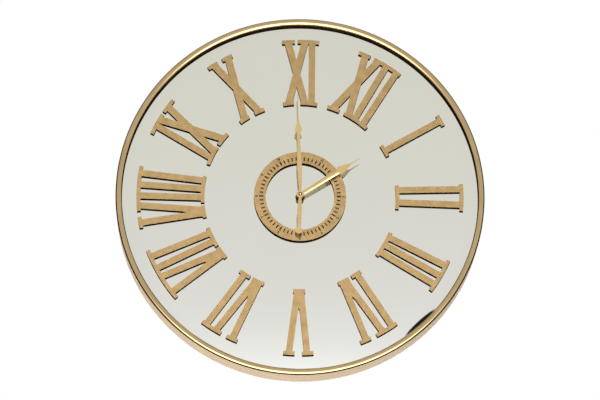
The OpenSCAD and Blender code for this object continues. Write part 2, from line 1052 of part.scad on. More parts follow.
module case_back() {
    color("dimgray")
        upright()
            difference() {
                union() {
                    at(z_case_back)
                        rounded_box(case_w, bay_top, case_up, case_corner, case_wall);
                    for (p = [hub, third_at, rotor_at])
                        place(p, z_lid - case_wall / 2)
                            cylinder(r = boss_r, h = boss_h + case_wall / 2);
                    place(fifth_at, z_lid - case_wall / 2)
                        cylinder(r = fifth_stud_r, h = z_fifth + pinion_t - z_lid + case_wall / 2);
                    for (p = stator_posts)
                        place(p, z_lid - case_wall / 2)
                            cylinder(r = stator_post_r, h = z_stator - z_lid + case_wall / 2);
                }
                for (p = [hub, third_at, rotor_at])
                    place(p, z_lid - pivot_depth)
                        cylinder(r = pivot_bore_r, h = boss_h + pivot_depth + cut);
                place(knob_at, z_case_back - cut)
                    cylinder(r = knob_arbor_r + running, h = case_wall + 2 * cut);
            }
}

module threaded_bush() {
    threads = floor((bush_len - bush_pitch) / bush_pitch);
    z_start = z_bush_end - threads * bush_pitch;
    color("goldenrod")
        upright()
            rotate_extrude()
                polygon(concat(
                    [
                        [hour_tube_r + running, z_ceiling - bush_flange_t],
                        [bush_flange_r, z_ceiling - bush_flange_t],
                        [bush_flange_r, z_ceiling],
                        [bush_r, z_ceiling],
                        [bush_r, z_start]
                    ],
                    [for (i = [0:threads - 1], half = [0.5, 1])
                        [bush_r - (half == 1 ? 0 : thread_depth), z_start + (i + half) * bush_pitch]],
                    [[hour_tube_r + running, z_bush_end]]
                ));
}

module rubber_washer() {
    color("black")
        upright()
            at(z_case_front)
                tube(bush_r + slip, rubber_d / 2, rubber_t);
}

module brass_washer() {
    color("goldenrod")
        upright()
            at(z_face)
                tube(bush_r + slip, washer_d / 2, washer_t);
}

module fixing_nut() {
    color("goldenrod")
        upright()
            at(z_face + washer_t)
                difference() {
                    cylinder(d = nut_flats / cos(30), h = nut_h, $fn = 6);
                    at(-cut)
                        cylinder(r = bush_r, h = nut_h + 2 * cut);
                }
}

// Wheels

module minute_arbor() {
    color("silver")
        upright()
            difference() {
                union() {
                    at(z_centre - pinion_over)
                        cylinder(r = minute_arbor_r, h = z_minute - z_centre + pinion_over);
                    at(z_motion - pinion_over)
                        rotate(minute_dir)
                            gear(cannon_teeth, motion_module, pinion_shape, pinion_t);
                    at(z_minute)
                        cylinder(r = arbor_tip_r, h = hand_t + hand_nut_h);
                    at(z_hand_nut + hand_nut_h)
                        intersection() {
                            sphere(arbor_tip_r);
                            cylinder(r = arbor_tip_d, h = arbor_tip_d);
                        }
                }
                at(z_centre - pinion_over - cut)
                    cylinder(r = pivot_bore_r, h = pinion_t + cut, $fn = pivot_fn);
            }
}

module hour_wheel() {
    color("goldenrod")
        upright()
            difference() {
                union() {
                    at(z_hour_wheel)
                        rotate(mesh_turn(minute_dir + 180, hour_teeth))
                            gear(hour_teeth, motion_module, wheel_shape, hour_wheel_t);
                    at(z_hour_wheel)
                        cylinder(r = hour_tube_r, h = z_hour + hand_t - z_hour_wheel);
                }
                at(z_hour_wheel - cut)
                    cylinder(r = minute_arbor_r + running, h = z_minute - z_hour_wheel + cut);
            }
}

module minute_wheel() {
    pinion_h = z_hour_wheel + hour_wheel_t - z_motion;
    bore_r = (minute_stud_r + stud_play) / polygon_share;
    color("ivory")
        upright()
            place(minute_at, 0)
                difference() {
                    union() {
                        at(z_motion)
                            rotate(mesh_turn(minute_dir, minute_teeth))
                                gear(minute_teeth, motion_module, wheel_shape, wheel_t);
                        at(z_motion)
                            rotate(minute_dir + 180)
                                gear(minute_pinion_teeth, motion_module, pinion_shape, pinion_h);
                    }
                    at(z_motion - cut)
                        cylinder(r = bore_r, h = case_t, $fn = pivot_fn);
                }
}

module centre_wheel() {
    bore_r = (minute_arbor_r + running) / polygon_share;
    color("ivory")
        upright()
            at(z_centre)
                difference() {
                    rotate(mesh_turn(third_dir + 180, centre_teeth))
                        gear(centre_teeth, centre_module, wheel_shape, wheel_t);
                    at(-cut)
                        cylinder(r = bore_r, h = wheel_t + 2 * cut, $fn = pivot_fn);
                }
}

module third_wheel() {
    color("ivory")
        upright()
            place(third_at, 0) {
                at(z_third)
                    rotate(mesh_turn(third_dir, third_teeth))
                        gear(third_teeth, third_module, wheel_shape, wheel_t);
                at(z_centre - pinion_over)
                    rotate(third_dir + 180)
                        gear(third_pinion_teeth, centre_module, pinion_shape, pinion_t);
                at(z_lid)
                    pivot_post(pivot_r, z_ceiling - z_lid);
            }
}

module seconds_wheel() {
    color("ivory")
        upright() {
            at(z_seconds)
                rotate(mesh_turn(fifth_dir + 180, seconds_teeth))
                    gear(seconds_teeth, fifth_module, wheel_shape, wheel_t);
            at(z_third - pinion_over)
                rotate(third_dir)
                    gear(seconds_pinion_teeth, third_module, pinion_shape, pinion_t);
            at(z_lid)
                pivot_post(pivot_r, z_centre - z_lid);
        }
}

module fifth_wheel() {
    pinion_h = z_fifth - z_seconds + pinion_over;
    bore_r = (fifth_stud_r + stud_play) / polygon_share;
    color("ivory")
        upright()
            place(fifth_at, 0)
                difference() {
                    union() {
                        at(z_fifth)
                            rotate(mesh_turn(rotor_dir + 180, fifth_teeth))
                                gear(fifth_teeth, rotor_module, wheel_shape, wheel_t);
                        at(z_seconds - pinion_over)
                            rotate(fifth_dir + 180)
                                gear(fifth_pinion_teeth, fifth_module, pinion_shape, pinion_h);
                    }
                    at(z_lid)
                        cylinder(r = bore_r, h = case_t, $fn = pivot_fn);
                }
}

module rotor() {
    color("slategray")
        upright()
            place(rotor_at, 0) {
                at(z_fifth - pinion_over)
                    rotate(rotor_dir + 180)
                        gear(rotor_teeth, rotor_module, pinion_shape, pinion_t);
                at(z_magnet)
                    pivot_post(magnet_r, magnet_t);
                at(z_lid)
                    pivot_post(pivot_r, z_ceiling - z_lid);
            }
}

// Motor and circuit

module stator() {
    color("silver")
        upright()
            at(z_stator)
                linear_extrude(stator_t)
                    difference() {
                        union() {
                            translate(rotor_at)
                                circle(stator_pad_r);
                            translate([core_left, core_y - core_w / 2])
                                square([core_right - core_left, core_w]);
                            translate([core_left, core_y])
                                square([core_w, rotor_at[1] - core_y]);
                            translate([rotor_at[0], leg_y - leg_w / 2])
                                square([core_right - rotor_at[0], leg_w]);
                            translate([core_right - core_w, core_y])
                                square([core_w, leg_y - core_y]);
                        }
                        translate(rotor_at)
                            circle(stator_bore_r);
                    }
}

module coil() {
    color("sienna")
        upright()
            difference() {
                translate([coil_left, core_y, z_stator + stator_t / 2])
                    rotate([0, 90, 0])
                        cylinder(r = coil_r, h = coil_right - coil_left);
                translate([coil_left - cut, core_y - core_w / 2, z_stator])
                    cube([coil_right - coil_left + 2 * cut, core_w, stator_t]);
            }
}

module circuit_board() {
    color("darkgreen")
        upright() {
            place(circuit_at, z_circuit)
                cube(circuit_size);
            place(circuit_at + [circuit_size[0], circuit_size[1]] / 2, z_circuit + circuit_size[2])
                cylinder(r = chip_r, h = circuit_size[2]);
        }
}

// Hand setting

module setting_pinion() {
    color("ivory")
        upright()
            place(knob_at, 0) {
                at(z_case_back - slip - knob_grip)
                    cylinder(r = knob_arbor_r, h = z_ceiling - z_case_back + slip + knob_grip);
                at(z_motion - pinion_over)
                    rotate(knob_turn)
                        gear(knob_teeth, motion_module, pinion_shape, pinion_t);
            }
}

module setting_knob() {
    flutes = 20;
    flute_r = 0.5;
    color("dimgray")
        upright()
            place(knob_at, z_case_back - slip - knob_h)
                difference() {
                    linear_extrude(knob_h)
                        difference() {
                            circle(knob_d / 2);
                            for (i = [0:flutes - 1])
                                translate(polar(knob_d / 2, i * 360 / flutes))
                                    circle(flute_r);
                        }
                    at(knob_cap_t)
                        cylinder(r = knob_arbor_r, h = knob_h);
                }
}

// Battery and contacts

module battery() {
    color("dimgray")
        upright()
            translate([battery_end, battery_y, z_battery])
                rotate([0, -90, 0]) {
                    cylinder(r = nub_r, h = nub_len + cut);
                    at(nub_len)
                        cylinder(r = battery_r, h = battery_len);
                }
}

module contact_plus() {
    color("silver")
        upright()
            translate([battery_end, battery_y - contact_w / 2, z_battery - contact_w / 2])
                cube([contact_t, contact_w, z_ceiling - z_battery + contact_w / 2]);
}

// Leaf spring folded to a shallow ridge that presses on the battery's flat end
module contact_minus() {
    wall_x = case_wall - case_w / 2;
    ridge_x = battery_end - nub_len - battery_len;
    color("silver")
        upright() {
            translate([wall_x, battery_y - contact_w / 2, z_battery - contact_w / 2])
                cube([contact_t, contact_w, z_ceiling - z_battery + contact_w / 2]);
            at(z_battery - contact_w / 4)
                linear_extrude(contact_w / 2)
                    polygon([
                        [wall_x + contact_t, battery_y - contact_w / 2],
                        [ridge_x, battery_y - contact_t / 2],
                        [ridge_x, battery_y + contact_t / 2],
                        [wall_x + contact_t, battery_y + contact_w / 2],
                        [wall_x + contact_t, battery_y + contact_w / 2 - contact_t],
                        [ridge_x - contact_t, battery_y],
                        [wall_x + contact_t, battery_y - contact_w / 2 + contact_t]
                    ]);
        }
}

// Hanger

module screw_spots() {
    for (x = [-screw_dx, screw_dx], y = [-screw_dy, screw_dy])
        translate([x, plate_y + y, 0])
            children();
}

module hanger_block() {
    color("burlywood")
        upright()
            difference() {
                translate([-plate_w / 2, plate_y - plate_h / 2, z_block])
                    cube([plate_w, plate_h, z_board - z_block]);
                translate([-pocket_w / 2, pocket_low, z_block - cut])
                    cube([pocket_w, pocket_high - pocket_low, pocket_depth + cut]);
                screw_spots()
                    at(z_block - cut)
                        cylinder(r = screw_d / 2, h = screw_len - plate_t + cut);
            }
}

module keyhole_plate() {
    color("silver")
        upright()
            at(z_plate)
                difference() {
                    translate([-plate_w / 2, plate_y - plate_h / 2])
                        cube([plate_w, plate_h, plate_t]);
                    translate([0, hanger_y, -cut])
                        cylinder(r = key_d / 2, h = plate_t + 2 * cut);
                    translate([-key_slot_w / 2, hanger_y, -cut])
                        cube([key_slot_w, key_slot_len, plate_t + 2 * cut]);
                    translate([0, hanger_y + key_slot_len, -cut])
                        cylinder(r = key_slot_w / 2, h = plate_t + 2 * cut);
                    screw_spots()
                        at(-cut)
                            cylinder(r = screw_d / 2 + slip, h = plate_t + 2 * cut);
                }
}

module hanger_screws() {
    color("silver")
        upright()
            screw_spots()
                difference() {
                    union() {
                        at(z_plate)
                            cylinder(r = screw_d / 2, h = screw_len);
                        at(z_plate - screw_head_h)
                            cylinder(r1 = screw_d / 2, r2 = screw_head_d / 2, h = screw_head_h);
                    }
                    for (turn = [0, 90])
                        rotate(turn)
                            translate([-screw_d / 2, -screw_slot_w / 2, z_plate - screw_head_h - cut])
                                cube([screw_d, screw_slot_w, screw_head_h / 2 + cut]);
                }
}

hoop();
rear_rim();
bezel();
mirror_glass();
back_board();
hoop_nails();
numeral_01();
numeral_02();
numeral_03();
numeral_04();
numeral_05();
numeral_06();
numeral_07();
numeral_08();
numeral_09();
numeral_10();
numeral_11();
numeral_12();
chapter_ring();
chapter_marks();
hour_hand();
minute_hand();
hand_nut();
case_front();
case_back();
threaded_bush();
rubber_washer();
brass_washer();
fixing_nut();
minute_arbor();
hour_wheel();
minute_wheel();
centre_wheel();
third_wheel();
seconds_wheel();
fifth_wheel();
rotor();
stator();
coil();
circuit_board();
setting_pinion();
setting_knob();
battery();
contact_plus();
contact_minus();
hanger_block();
keyhole_plate();
hanger_screws();
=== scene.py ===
import json
import math

import bmesh
import bpy
import numpy as np
from mathutils import Matrix, Vector


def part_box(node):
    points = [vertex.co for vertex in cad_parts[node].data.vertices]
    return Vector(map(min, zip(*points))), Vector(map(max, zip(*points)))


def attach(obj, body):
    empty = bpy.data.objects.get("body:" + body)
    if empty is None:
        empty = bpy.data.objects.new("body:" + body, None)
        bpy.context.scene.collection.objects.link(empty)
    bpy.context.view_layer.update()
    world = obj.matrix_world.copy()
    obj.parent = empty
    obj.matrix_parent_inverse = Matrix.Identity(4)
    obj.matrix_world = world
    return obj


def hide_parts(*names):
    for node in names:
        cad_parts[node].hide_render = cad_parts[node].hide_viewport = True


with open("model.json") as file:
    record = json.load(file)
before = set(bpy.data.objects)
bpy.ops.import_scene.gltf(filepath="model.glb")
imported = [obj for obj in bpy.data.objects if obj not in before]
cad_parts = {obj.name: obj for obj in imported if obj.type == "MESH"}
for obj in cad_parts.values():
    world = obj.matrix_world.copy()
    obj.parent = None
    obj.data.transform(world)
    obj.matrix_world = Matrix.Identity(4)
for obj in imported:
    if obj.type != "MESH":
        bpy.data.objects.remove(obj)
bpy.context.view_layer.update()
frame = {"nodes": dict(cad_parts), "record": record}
nodes = frame["nodes"]
scene = bpy.context.scene

# Lengths are in metres; the small sizes below are the part's own, written in millimetres
MM = 0.001
wall_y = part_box("hoop")[1].y
face_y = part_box("mirror_glass")[0].y
board_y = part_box("back_board")[1].y
frame_r = -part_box("bezel")[0].x
hoop_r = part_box("hoop")[1].z
plus_side = math.copysign(1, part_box("contact_plus")[0].x)

# Frame of the clock
BEAD_W = 10.5 * MM
BEAD_ROLL = 0.5 * MM
HOOP_T = 2 * MM
HOOP_SOFT = 0.4 * MM
SKIRT_T = 3 * MM
FIT = 0.2 * MM
NAIL_COUNT = 12
NAIL_SHANK_R = 1 * MM
NAIL_HEAD_R = 2.2 * MM
NAIL_HEAD_H = 0.7 * MM
NAIL_GRIP = 8 * MM
NAIL_POLE_R = 0.01 * MM
HAND_BORE_R = 1.4 * MM
NUT_FOOT = 0.3 * MM

# Raised marks on the movement's case
MARK_SUNK = 0.3 * MM
MARK_RAISED = 0.4 * MM
MARK_HALF_W = 0.4 * MM
MARK_BEVEL = 0.3
ARROW_TURN = (-155, -35)
ARROW_GAP = 3.2 * MM
ARROW_HEAD_AT = 0.801
ARROW_HEAD_W = 1.3 * MM
ARROW_TIP_W = 0.05 * MM
SIGN_IN = 6 * MM
SIGN_UP = 4 * MM
SIGN_HALF = 1.7 * MM
SIGN_CROSS_RISE = 0.02 * MM

# Cell
BUTTON_R = 2.7 * MM
BUTTON_H = 1.3 * MM
BUTTON_ROLL = 0.4 * MM
CELL_ROLL = 0.7 * MM
FOOT_DENT = 0.15 * MM
FOOT_DENT_IN = 2.2 * MM
FOOT_RIM_IN = 1.4 * MM
SLEEVE_END = 1.4 * MM
SHOULDER_AT = 1.2 * MM
SHOULDER_IN = 0.25 * MM
STEP_DEEP = 0.5 * MM
STEP_W = 1.2 * MM

# Steps along curves and round turns
RING_SEGMENTS = 360
BEAD_STEPS = 49
ROLL_STEPS = 6
EDGE_STEPS = 13
SOFT_STEPS = 5
NAIL_STEPS = 7
NAIL_SEGMENTS = 20
NUT_STEPS = 17
NUT_SEGMENTS = 72
ARROW_STEPS = 33
SIGN_STEPS = 9
CELL_SEGMENTS = 64
SHARP_EDGE = math.radians(35)

# Heights over the wall and radii that follow from the frame
face_h = wall_y - face_y
board_h = wall_y - board_y
bead_h = wall_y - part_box("bezel")[0].y - BEAD_W / 2
hoop_top = wall_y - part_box("hoop")[0].y
lip_r = frame_r - BEAD_W
hoop_in = hoop_r - HOOP_T
skirt_out = hoop_in - FIT
skirt_in = skirt_out - SKIRT_T

# Photograph's frame and the camera's place before it
FRAME_PX = (600, 400)
PX_PER_M = 615.0
DIAL_PX = (300.0, 197.5)
CAMERA_FAR = 12.0
CAMERA_OFF = math.radians(15.5)
CAMERA_TOWARDS = math.radians(154)
CAMERA_CLIP = 100
PICTURE_UP = math.radians(-30.2)
SENSOR = 36.0


def dial_direction(angle):
    """Unit vector in the dial's plane at a clockwise angle from twelve o'clock."""
    return Vector((math.sin(angle), 0, math.cos(angle)))


picture_up = dial_direction(PICTURE_UP)
picture_right = dial_direction(PICTURE_UP + math.pi / 2)
dial_front = Vector((0, -1, 0))
dial_middle = Vector((0, face_y, 0))
to_camera = dial_front * math.cos(CAMERA_OFF) + dial_direction(CAMERA_TOWARDS) * math.sin(CAMERA_OFF)


# Surfaces

def loop_quads(rows, cols, wrap_rows):
    """Corner numbers of a grid's quads; its columns close, and its rows close if asked."""
    r = np.arange(rows if wrap_rows else rows - 1)[:, None]
    c = np.arange(cols)[None, :]
    next_r = (r + 1) % rows
    next_c = (c + 1) % cols
    corners = [r * cols + c, r * cols + next_c, next_r * cols + next_c, next_r * cols + c]
    return np.stack(corners, axis=-1).reshape(-1, 4)


def make_piece(name, points, faces, body, stands_for=()):
    """Mesh piece from points and faces, turned outwards, smooth but for edges over the sharp angle."""
    mesh = bpy.data.meshes.new(name)
    mesh.from_pydata(np.asarray(points).reshape(-1, 3).tolist(), [], faces)
    work = bmesh.new()
    work.from_mesh(mesh)
    bmesh.ops.recalc_face_normals(work, faces=work.faces)
    work.to_mesh(mesh)
    work.free()
    mesh.polygons.foreach_set("use_smooth", np.ones(len(mesh.polygons), bool))
    mesh.set_sharp_from_angle(angle=SHARP_EDGE)
    piece = bpy.data.objects.new(name, mesh)
    scene.collection.objects.link(piece)
    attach(piece, body)
    if stands_for:
        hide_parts(*stands_for)
    return piece


def arc(centre, radius, start, end, count):
    """Points on a circle from one angle to another, in degrees."""
    a = np.radians(np.linspace(start, end, count))
    return np.column_stack([centre[0] + radius * np.cos(a), centre[1] + radius * np.sin(a)])


def turned_piece(name, profile, segments, body, stands_for):
    """Closed profile of (radius, height over the wall) turned about the dial's axis: the profile along the
    rows of the grid, the turn along its columns."""
    a = np.linspace(0, 2 * np.pi, segments, endpoint=False)
    r = profile[:, 0][:, None]
    height = np.broadcast_to(profile[:, 1][:, None], (len(profile), segments))
    grid = np.stack([r * np.sin(a), wall_y - height, r * np.cos(a)], axis=-1)
    faces = loop_quads(len(profile), segments, True).tolist()
    return make_piece(name, grid, faces, body, stands_for)


# Frame pieces

def make_bezel():
    """Section: inner wall off the mirror, half-round bead, rolled under edge, groove wall and skirt."""
    profile = np.vstack([
        [[lip_r, face_h]],
        arc((frame_r - BEAD_W / 2, bead_h), BEAD_W / 2, 180, 0, BEAD_STEPS),
        arc((frame_r - BEAD_ROLL, bead_h), BEAD_ROLL, -10, -90, ROLL_STEPS),
        [[skirt_out, bead_h - BEAD_ROLL]],
        [[skirt_out, board_h]],
        [[skirt_in, board_h]],
        [[skirt_in, face_h]],
    ])
    return turned_piece("bezel_bead", profile, RING_SEGMENTS, "clock_body", ["bezel"])


def make_hoop():
    """Section: a sheet band with a rolled front edge and a softened rear edge."""
    edge = HOOP_T / 2
    profile = np.vstack([
        arc((hoop_r - edge, hoop_top - edge), edge, 180, 0, EDGE_STEPS),
        arc((hoop_r - HOOP_SOFT, HOOP_SOFT), HOOP_SOFT, 0, -90, SOFT_STEPS),
        [[hoop_in, 0]],
    ])
    return turned_piece("hoop_band", profile, RING_SEGMENTS, "clock_body", ["hoop"])


def make_nails():
    """Nails round the band: a dome and a shank turned about each radius, with a pole at either end."""
    foot = skirt_in - NAIL_GRIP
    a = np.radians(np.linspace(90, 0, NAIL_STEPS))
    dome = np.column_stack([NAIL_HEAD_R * np.cos(a), hoop_r + NAIL_HEAD_H * np.sin(a)])
    shank = [[NAIL_SHANK_R, hoop_r], [NAIL_SHANK_R, foot], [0, foot]]
    profile = np.vstack([dome, shank])
    profile[[0, -1], 0] = NAIL_POLE_R
    turn = np.linspace(0, 2 * np.pi, NAIL_SEGMENTS, endpoint=False)
    across = profile[:, 0][:, None] * np.cos(turn)
    along = profile[:, 0][:, None] * np.sin(turn)
    out = np.broadcast_to(profile[:, 1][:, None], across.shape)
    clock = np.linspace(0, 2 * np.pi, NAIL_COUNT, endpoint=False)[:, None, None]
    nail_y = (board_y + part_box("back_board")[0].y) / 2
    x = out * np.sin(clock) + across * np.cos(clock)
    z = out * np.cos(clock) - across * np.sin(clock)
    y = np.broadcast_to(nail_y + along, x.shape)
    one = loop_quads(len(profile), NAIL_SEGMENTS, False)
    per_nail = len(profile) * NAIL_SEGMENTS
    first = np.arange(NAIL_SEGMENTS)
    ends = np.array([first, first + per_nail - NAIL_SEGMENTS])
    shift = per_nail * np.arange(NAIL_COUNT)[:, None, None]
    faces = (one + shift).reshape(-1, 4).tolist() + (ends + shift).reshape(-1, NAIL_SEGMENTS).tolist()
    points = np.stack([x, y, z], axis=-1)
    return make_piece("nail_heads", points, faces, "clock_body", ["hoop_nails"])


def make_hand_nut():
    """Section of the nut round the arbor: a short straight foot, then a quarter of an ellipse to the bore."""
    low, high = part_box("hand_nut")
    radius = high.x
    base = wall_y - high.y
    top = wall_y - low.y
    a = np.radians(np.linspace(0, 90, NUT_STEPS))
    dome_r = HAND_BORE_R + (radius - HAND_BORE_R) * np.cos(a)
    dome_h = base + NUT_FOOT + (top - base - NUT_FOOT) * np.sin(a)
    dome = np.column_stack([dome_r, dome_h])
    profile = np.vstack([[[HAND_BORE_R, base]], [[radius, base]], dome])
    return turned_piece("hand_nut_turned", profile, NUT_SEGMENTS, "minute_hand_set",
                        ["hand_nut"])


# Movement pieces

def raised_strip(x, z, half_w, low_h, top_h):
    """Strip along a path on the dial's plane: a flat section with bevelled edges, carried along the path."""
    along = np.column_stack([np.gradient(x), np.gradient(z)])
    along /= np.linalg.norm(along, axis=1)[:, None]
    side = np.column_stack([-along[:, 1], along[:, 0]])
    across = np.array([-1, -1, MARK_BEVEL - 1, 1 - MARK_BEVEL, 1, 1])
    step = np.array([0, 1 - MARK_BEVEL, 1, 1, 1 - MARK_BEVEL, 0])
    height = np.broadcast_to(low_h + (top_h - low_h) * step, (len(x), len(step)))
    grid_x = x[:, None] + side[:, :1] * half_w[:, None] * across
    grid_z = z[:, None] + side[:, 1:] * half_w[:, None] * across
    points = np.stack([grid_x, wall_y - height, grid_z], axis=-1)
    cols = len(step)
    last = (len(x) - 1) * cols
    ends = [list(range(cols)), list(range(last, last + cols))]
    return points.reshape(-1, 3), loop_quads(len(x), cols, False).tolist() + ends


def make_case_marks():
    """Raised marks on the back of the case: strips along an arc below the knob, as a bent arrow, and along
    straight lines over the cell, as a plus and a minus."""
    knob_low, knob_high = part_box("setting_knob")
    knob = (knob_low + knob_high) / 2
    plate_h = wall_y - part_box("case_back")[1].y
    low_h = plate_h + MARK_SUNK
    top_h = plate_h - MARK_RAISED
    turn = np.radians(np.linspace(*ARROW_TURN, ARROW_STEPS))
    share = np.linspace(0, 1, len(turn))
    head_w = np.interp(share, [ARROW_HEAD_AT, 1], [ARROW_HEAD_W, ARROW_TIP_W])
    half_w = np.where(share < ARROW_HEAD_AT, MARK_HALF_W, head_w)
    arrow_r = knob_high.x - knob.x + ARROW_GAP
    arrow_x = knob.x + arrow_r * np.cos(turn)
    arrow_z = knob.z + arrow_r * np.sin(turn)
    strips = [raised_strip(arrow_x, arrow_z, half_w, low_h, top_h)]
    case_low, case_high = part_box("case_back")
    sign_x = plus_side * (case_high.x - SIGN_IN)
    sign_z = case_low.z + SIGN_UP
    reach = np.linspace(-SIGN_HALF, SIGN_HALF, SIGN_STEPS)
    still = np.zeros_like(reach)
    even_w = np.full_like(reach, MARK_HALF_W)
    strips.append(raised_strip(sign_x + reach, sign_z + still, even_w, low_h, top_h))
    strips.append(raised_strip(sign_x + still, sign_z + reach, even_w, low_h, top_h - SIGN_CROSS_RISE))
    strips.append(raised_strip(-sign_x + reach, sign_z + still, even_w, low_h, top_h))
    starts = np.cumsum([0] + [len(points) for points, own in strips[:-1]])
    faces = [[start + i for i in face] for start, (points, own) in zip(starts, strips) for face in own]
    all_points = np.vstack([points for points, own in strips])
    return make_piece("case_marks", all_points, faces, "clock_body")


def make_cell():
    """Section along the cell, turned about its length: crimped foot, sleeve, rolled shoulder, step and
    button, from foot to button."""
    low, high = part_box("battery")
    radius = (high.z - low.z) / 2
    middle = (low + high) / 2
    length = high.x - low.x
    body = length - BUTTON_H
    shoulder_r = radius - SHOULDER_IN
    profile = np.vstack([
        [[FOOT_DENT, radius - FOOT_DENT_IN]],
        [[0, radius - FOOT_RIM_IN]],
        arc((CELL_ROLL, radius - CELL_ROLL), CELL_ROLL, 180, 90, ROLL_STEPS),
        [[body - SLEEVE_END, radius]],
        [[body - SHOULDER_AT, shoulder_r]],
        arc((body - CELL_ROLL, shoulder_r - CELL_ROLL), CELL_ROLL, 90, 0, ROLL_STEPS),
        [[body - STEP_DEEP, BUTTON_R + STEP_W]],
        [[body - STEP_DEEP, BUTTON_R]],
        arc((length - BUTTON_ROLL, BUTTON_R - BUTTON_ROLL), BUTTON_ROLL, 90, 0, SOFT_STEPS),
    ])
    turn = np.linspace(0, 2 * np.pi, CELL_SEGMENTS, endpoint=False)
    foot_x = middle.x - plus_side * length / 2
    x = np.broadcast_to(foot_x + plus_side * profile[:, :1], (len(profile), len(turn)))
    y = middle.y + profile[:, 1:] * np.cos(turn)
    z = middle.z + profile[:, 1:] * np.sin(turn)
    last = (len(profile) - 1) * len(turn)
    ends = [list(range(len(turn))), list(range(last, last + len(turn)))]
    faces = loop_quads(len(profile), len(turn), False).tolist() + ends
    points = np.stack([x, y, z], axis=-1)
    return make_piece("cell", points, faces, "clock_body", ["battery"])


# Camera

def make_camera():
    """Far camera below the dial's axis, rolled so that eleven o'clock is up, with the dial at its pixel."""
    right = (-to_camera).cross(picture_up).normalized()
    up = right.cross(-to_camera)
    off_right = (DIAL_PX[0] - FRAME_PX[0] / 2) / PX_PER_M
    off_up = (FRAME_PX[1] / 2 - DIAL_PX[1]) / PX_PER_M
    place = dial_middle + to_camera * CAMERA_FAR - right * off_right - up * off_up
    data = bpy.data.cameras.new("camera")
    data.sensor_width = SENSOR
    data.lens = PX_PER_M * CAMERA_FAR * SENSOR / FRAME_PX[0]
    data.clip_end = CAMERA_CLIP
    camera = bpy.data.objects.new("camera", data)
    camera.matrix_world = Matrix.Translation(place) @ Matrix((right, up, to_camera)).transposed().to_4x4()
    scene.collection.objects.link(camera)
    scene.camera = camera


# Nodes

def add(tree, kind, inputs=None, **settings):
    """Node with its settings; each input is a constant or another node's output."""
    made = tree.nodes.new("ShaderNode" + kind)
    for key, value in settings.items():
        setattr(made, key, value)
    for key, value in (inputs or {}).items():
        if isinstance(value, bpy.types.NodeSocket):
            tree.links.new(value, made.inputs[key])
        else:
            made.inputs[key].default_value = value
    return made


def maths(tree, operation, a, b=0.0, c=0.0):
    """Result of one sum on up to three numbers."""
    return add(tree, "Math", {0: a, 1: b, 2: c}, operation=operation).outputs[0]


def ramp(tree, value, low, high, to_low=0.0, to_high=1.0):
    """Value mapped from one range to another, held at both ends."""
    names = {"Value": value, "From Min": low, "From Max": high, "To Min": to_low, "To Max": to_high}
    return add(tree, "MapRange", names).outputs["Result"]


def between(tree, factor, at_zero, at_one):
    """Number between two, by a factor from 0 to 1."""
    return ramp(tree, factor, 0, 1, at_zero, at_one)


def weighted(tree, first, share, second):
    """Sum of two numbers, the first by its share and the second by the rest."""
    return maths(tree, "MULTIPLY_ADD", first, share, maths(tree, "MULTIPLY", second, 1 - share))


def dot(tree, vector, direction):
    """How far a vector reaches along a direction."""
    return add(tree, "VectorMath", {0: vector, 1: tuple(direction)}, operation="DOT_PRODUCT").outputs["Value"]


def mix(tree, factor, a, b):
    """Colour between two, by a factor."""
    def colour(value):
        return value if isinstance(value, bpy.types.NodeSocket) else (*value, 1)
    return add(tree, "Mix", {0: factor, 6: colour(a), 7: colour(b)}, data_type="RGBA").outputs[2]


# Light

WHITE = (1, 1, 1)
AMBIENT_FRONT = 0.07
AMBIENT_BEHIND = 0.8
AMBIENT_TURN = (-0.3, 0.3)
MIRRORED = (0.5, 0.8)
KEY_FAR = 8.0
KEY_SIZE = 1.0
KEY_WATTS = 535
KEY_RISE = 0.216
FLAG_FAR = 5.0
FLAG_EDGE = 0.156
FLAG_HALF = 0.6
LOW_FAR = 2.5
LOW_SIZE = 1.1
LOW_WATTS = 10.5
LOW_FRONT = 0.25
LOW_RIGHT = 0.05
LOW_DOWN = 0.97
TOP_FAR = 2.5
TOP_SIZE = 1.4
TOP_WATTS = 16
TOP_BACK = 0.12
GLOSS_MIDDLE = 0.78
GLOSS_SWING = 0.12
GLOSS_SWING_BEHIND = 0.1
GLOSS_TURN = (-0.3, 0.2)
GLOSS_FRONT = 0.04
GLOW_LEVEL = 3.8
GLOW_RISE = (math.radians(12), math.radians(50))
GLOW_END = (math.radians(88), math.radians(96))
GLOW_REACH = (0.62, 0.8)
CARD_FAR = 6.0
CARD_TOP = 0.77
CARD_BOTTOM = 0.835
CARD_GLOW = 0.32
CARD_GLOW_CURVE = 10
CARD_TINT = (1, 0.985, 0.9)
CARD_TINT_CURVE = 2.2
FOLD_AT = (0.1948, -0.2080)
FOLD_LONG = 36 * MM
FOLD_WIDE = 4.5 * MM
FOLD_EDGE = (0.55, 1.05)
FOLD_LEVEL = 0.02
FLOOR_Z = -3.3
FLOOR_HALF = 9.0
FLOOR_COLOUR = (0.9, 0.9, 0.89)
FLOOR_ROUGH = 0.7
FLOOR_LIGHT = 0.12
FLOOR_SEEN = 0.6
key_way = dial_front + picture_up * KEY_RISE
low_way = dial_front * LOW_FRONT + picture_right * LOW_RIGHT - picture_up * LOW_DOWN
top_way = Vector((0, TOP_BACK, 1))
card_spread = 1 + CARD_FAR / CAMERA_FAR
card_half = frame_r * card_spread


def area_light(name, direction, far, size, watts):
    """Square lamp at a distance, turned to the dial."""
    data = bpy.data.lights.new(name, "AREA")
    data.shape = "SQUARE"
    data.size = size
    data.energy = watts
    lamp = bpy.data.objects.new(name, data)
    lamp.location = direction.normalized() * far
    lamp.rotation_mode = "QUATERNION"
    lamp.rotation_quaternion = (-lamp.location).to_track_quat("-Z", "Y")
    lamp.visible_glossy = False
    scene.collection.objects.link(lamp)


